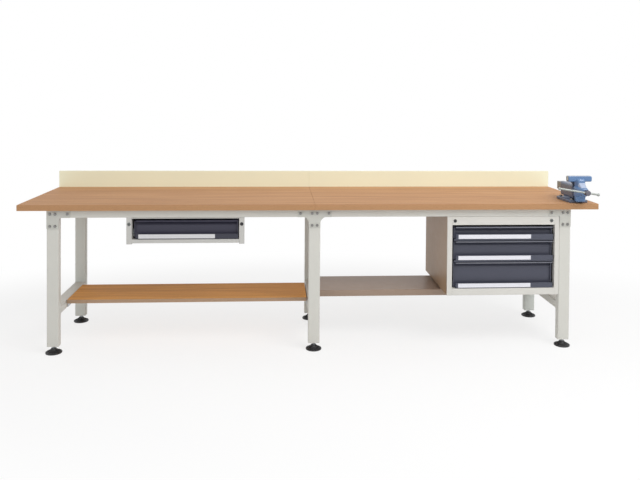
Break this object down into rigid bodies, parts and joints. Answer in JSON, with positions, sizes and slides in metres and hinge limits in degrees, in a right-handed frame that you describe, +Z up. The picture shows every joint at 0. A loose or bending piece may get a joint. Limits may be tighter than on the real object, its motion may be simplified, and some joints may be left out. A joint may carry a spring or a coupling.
{
  "type": "wooden-top workbench",
  "caption": "Long two-bay workbench: wooden top, low backboard, steel leg frames on screw feet, hanging drawer, drawer cabinet, two low shelves and a bench vise.",
  "frame": {"origin": "on the floor, under the middle of the whole bench's outer box", "axes": "+X along the bench to the right as seen from its front, +Y from the front to the back, +Z up"},
  "size_m": [3, 0.785, 0.91],
  "materials": {
    "beech_worktop": "oiled",
    "cream_backboard": "satin laminate",
    "grey_paint": "satin powder coat",
    "galvanised_plate": "satin",
    "dark_zinc_bolts": "zinc",
    "plywood_shelf": "oiled",
    "zinc_steel": "zinc",
    "steel_shelf": "satin",
    "light_unit_paint": "satin powder coat",
    "blue_grey_drawer_paint": "satin powder coat",
    "dark_handle_paint": "satin coated",
    "white_label": "matt",
    "lock_chrome": "polished",
    "lock_steel": "brushed",
    "black_plastic": "matt",
    "grey_casting": "grey paint",
    "blue_casting": "blue paint",
    "bright_steel": "machined"
  },
  "bodies": {
    "bench": {"worktop_left": "beech_worktop", "worktop_right": "beech_worktop", "backboard_left": "cream_backboard", "backboard_right": "cream_backboard", "frame_left": "grey_paint", "frame_middle": "grey_paint", "frame_right": "grey_paint", "front_rails": "grey_paint", "rear_rails": "grey_paint", "head_plates": "galvanised_plate", "frame_bolts": "dark_zinc_bolts", "wood_screws": "dark_zinc_bolts", "wood_shelf": "plywood_shelf", "shelf_angles": "zinc_steel", "steel_shelf": "steel_shelf", "drawer_housing": "light_unit_paint", "cabinet_body": "light_unit_paint", "hanging_strips": "zinc_steel", "runner_carriers": "zinc_steel", "runner_channels": "zinc_steel", "lock_sleeves": "lock_chrome", "blank_plugs": "black_plastic", "vise_base": "grey_casting", "vise_body": "grey_casting", "vise_fixed_plate": "bright_steel", "vise_bolts": "dark_zinc_bolts"},
    "drawer_single_body": {"drawer_single": "blue_grey_drawer_paint", "handle_single": "dark_handle_paint", "label_single": "white_label"},
    "runners_single_body": {"runners_single": "zinc_steel"},
    "drawer_top_body": {"drawer_top": "blue_grey_drawer_paint", "handle_top": "dark_handle_paint", "label_top": "white_label"},
    "runners_top_body": {"runners_top": "zinc_steel"},
    "drawer_middle_body": {"drawer_middle": "blue_grey_drawer_paint", "handle_middle": "dark_handle_paint", "label_middle": "white_label"},
    "runners_middle_body": {"runners_middle": "zinc_steel"},
    "drawer_bottom_body": {"drawer_bottom": "blue_grey_drawer_paint", "handle_bottom": "dark_handle_paint", "label_bottom": "white_label"},
    "runners_bottom_body": {"runners_bottom": "zinc_steel"},
    "lock_single": {"lock_barrel_single": "lock_steel"},
    "lock_cabinet": {"lock_barrel_cabinet": "lock_steel"},
    "foot_1": {"foot_pad_1": "black_plastic", "foot_stem_1": "zinc_steel"},
    "foot_2": {"foot_pad_2": "black_plastic", "foot_stem_2": "zinc_steel"},
    "foot_3": {"foot_pad_3": "black_plastic", "foot_stem_3": "zinc_steel"},
    "foot_4": {"foot_pad_4": "black_plastic", "foot_stem_4": "zinc_steel"},
    "foot_5": {"foot_pad_5": "black_plastic", "foot_stem_5": "zinc_steel"},
    "foot_6": {"foot_pad_6": "black_plastic", "foot_stem_6": "zinc_steel"},
    "vise_jaw_body": {"vise_jaw": "blue_casting", "vise_jaw_plate": "bright_steel"},
    "vise_screw_body": {"vise_screw": "bright_steel"},
    "vise_bar_body": {"vise_bar": "bright_steel"}
  },
  "joints": [
    {"name": "drawer_single_slide", "type": "slide", "parent": "bench", "child": "drawer_single_body", "axis": [0, -1, 0], "range_m": [0, 0.42]},
    {"name": "runners_single_slide", "type": "slide", "parent": "bench", "child": "runners_single_body", "axis": [0, -1, 0], "range_m": [0, 0.21]},
    {"name": "drawer_top_slide", "type": "slide", "parent": "bench", "child": "drawer_top_body", "axis": [0, -1, 0], "range_m": [0, 0.44]},
    {"name": "runners_top_slide", "type": "slide", "parent": "bench", "child": "runners_top_body", "axis": [0, -1, 0], "range_m": [0, 0.22]},
    {"name": "drawer_middle_slide", "type": "slide", "parent": "bench", "child": "drawer_middle_body", "axis": [0, -1, 0], "range_m": [0, 0.44]},
    {"name": "runners_middle_slide", "type": "slide", "parent": "bench", "child": "runners_middle_body", "axis": [0, -1, 0], "range_m": [0, 0.22]},
    {"name": "drawer_bottom_slide", "type": "slide", "parent": "bench", "child": "drawer_bottom_body", "axis": [0, -1, 0], "range_m": [0, 0.44]},
    {"name": "runners_bottom_slide", "type": "slide", "parent": "bench", "child": "runners_bottom_body", "axis": [0, -1, 0], "range_m": [0, 0.22]},
    {"name": "lock_single_turn", "type": "hinge", "parent": "bench", "child": "lock_single", "pos_m": [-0.9495, -0.2795, 0.662], "axis": [0, 1, 0], "range_deg": [0, 90]},
    {"name": "lock_cabinet_turn", "type": "hinge", "parent": "bench", "child": "lock_cabinet", "pos_m": [1.258, -0.2795, 0.6732], "axis": [0, 1, 0], "range_deg": [0, 90]},
    {"name": "foot_1_height", "type": "slide", "parent": "bench", "child": "foot_1", "axis": [0, 0, -1], "range_m": [0, 0.025]},
    {"name": "foot_2_height", "type": "slide", "parent": "bench", "child": "foot_2", "axis": [0, 0, -1], "range_m": [0, 0.025]},
    {"name": "foot_3_height", "type": "slide", "parent": "bench", "child": "foot_3", "axis": [0, 0, -1], "range_m": [0, 0.025]},
    {"name": "foot_4_height", "type": "slide", "parent": "bench", "child": "foot_4", "axis": [0, 0, -1], "range_m": [0, 0.025]},
    {"name": "foot_5_height", "type": "slide", "parent": "bench", "child": "foot_5", "axis": [0, 0, -1], "range_m": [0, 0.025]},
    {"name": "foot_6_height", "type": "slide", "parent": "bench", "child": "foot_6", "axis": [0, 0, -1], "range_m": [0, 0.025]},
    {"name": "vise_jaw_slide", "type": "slide", "parent": "bench", "child": "vise_jaw_body", "axis": [0, -1, 0], "range_m": [0, 0.1]},
    {"name": "vise_screw_turn", "type": "hinge", "parent": "vise_jaw_body", "child": "vise_screw_body", "pos_m": [1.405, -0.3775, 0.833], "axis": [0, -1, 0], "range_deg": [0, 5940]},
    {"name": "vise_bar_slide", "type": "slide", "parent": "vise_screw_body", "child": "vise_bar_body", "axis": [0.9877, 0, -0.1564], "range_m": [-0.04, 0.13]}
  ],
  "couplings": [
    {"joint": "runners_single_slide", "follows": "drawer_single_slide", "ratio": 0.5},
    {"joint": "runners_top_slide", "follows": "drawer_top_slide", "ratio": 0.5},
    {"joint": "runners_middle_slide", "follows": "drawer_middle_slide", "ratio": 0.5},
    {"joint": "runners_bottom_slide", "follows": "drawer_bottom_slide", "ratio": 0.5},
    {"joint": "vise_jaw_slide", "follows": "vise_screw_turn", "m_per_rad": 0.00095493}
  ]
}
